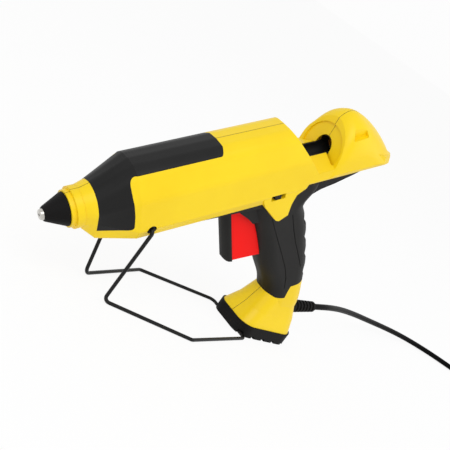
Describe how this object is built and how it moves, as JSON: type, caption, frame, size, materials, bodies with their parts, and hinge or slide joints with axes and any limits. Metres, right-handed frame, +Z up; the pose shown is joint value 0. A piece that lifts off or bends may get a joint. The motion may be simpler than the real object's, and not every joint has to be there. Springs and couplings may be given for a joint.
{
  "type": "hot-melt glue gun",
  "caption": "Pistol-shaped hot-melt glue gun standing nose-down on a folding wire stand, with a sprung trigger that feeds the stick, a tray for the stick and a coiled mains lead.",
  "frame": {"origin": "on the table, under the middle of the gun with its stand and strain relief, the free lead left out", "axes": "+X from the nozzle to the rear and the lead, +Y to the gun's right-hand side, +Z up from the table"},
  "size_m": [0.8766, 0.1307, 0.2308],
  "materials": {
    "yellow_housing": "smooth moulded, low sheen",
    "black_plastic": "fine moulded grain",
    "black_rubber": "soft-touch, dull",
    "red_plastic": "smooth moulded",
    "steel": "turned or drawn metal",
    "black_wire": "black coated wire",
    "aluminium": "cast",
    "ceramic": "ceramic tablets",
    "fabric_wrap": "woven glass",
    "silicone": "silicone",
    "board": "laminate",
    "white_plastic": "moulded"
  },
  "bodies": {
    "housing": {"shell_left": "yellow_housing", "shell_right": "yellow_housing", "nose_collar": "yellow_housing", "stand_bushes": "black_plastic", "top_cover": "black_plastic", "nozzle": "steel", "nozzle_jacket": "black_rubber", "check_spring": "steel", "melt_chamber": "aluminium", "heater_plates": "ceramic", "heater_clamp": "steel", "insulation_sleeve": "fabric_wrap", "inlet_sleeve": "silicone", "sleeve_clamp": "steel", "stick_guide": "black_plastic", "lever_pin": "steel", "return_spring": "steel", "grip_left": "black_rubber", "grip_right": "black_rubber", "backstrap": "black_rubber", "sole": "black_rubber", "switch_body": "black_plastic", "circuit_board": "board", "terminal_block": "white_plastic", "inner_leads": "silicone", "shell_screws": "steel", "strain_relief": "black_rubber", "cord_lead": "black_rubber", "cord_coil": "black_rubber", "cord_tail": "black_rubber", "coil_tie": "black_plastic", "plug_body": "black_plastic", "plug_pins": "steel"},
    "trigger": {"trigger_body": "red_plastic", "trigger_pad": "black_rubber"},
    "lever": {"feed_lever": "steel"},
    "carriage": {"feed_carriage": "black_plastic"},
    "stand": {"stand_wire": "black_wire"},
    "switch": {"switch_knob": "black_plastic"},
    "valve": {"check_ball": "steel"}
  },
  "joints": [
    {"name": "trigger_pull", "type": "slide", "parent": "housing", "child": "trigger", "axis": [0.8406, 0, 0.5417], "range_m": [0, 0.015], "stiffness_N_per_m": 600, "springref_m": -0.006, "deforming": ["return_spring"]},
    {"name": "lever_swing", "type": "hinge", "parent": "housing", "child": "lever", "pos_m": [0.01809, 0, 0.13145], "axis": [0, -1, 0], "range_deg": [0, 24.2]},
    {"name": "carriage_feed", "type": "slide", "parent": "housing", "child": "carriage", "axis": [-0.8406, 0, -0.5417], "range_m": [0, 0.0094]},
    {"name": "stand_fold", "type": "hinge", "parent": "housing", "child": "stand", "pos_m": [-0.09856, 0, 0.07709], "axis": [0, 1, 0], "range_deg": [0, 50]},
    {"name": "switch_slide", "type": "slide", "parent": "housing", "child": "switch", "axis": [0.8406, 0, 0.5417], "range_m": [-0.0034, 0.0034]},
    {"name": "valve_lift", "type": "slide", "parent": "housing", "child": "valve", "axis": [-0.8406, 0, -0.5417], "range_m": [0, 0.0015], "stiffness_N_per_m": 60, "springref_m": -0.002, "deforming": ["check_spring"]}
  ],
  "couplings": [
    {"joint": "lever_swing", "follows": "trigger_pull", "rad_per_m": 27.9},
    {"joint": "carriage_feed", "follows": "trigger_pull", "ratio": 0.61}
  ]
}
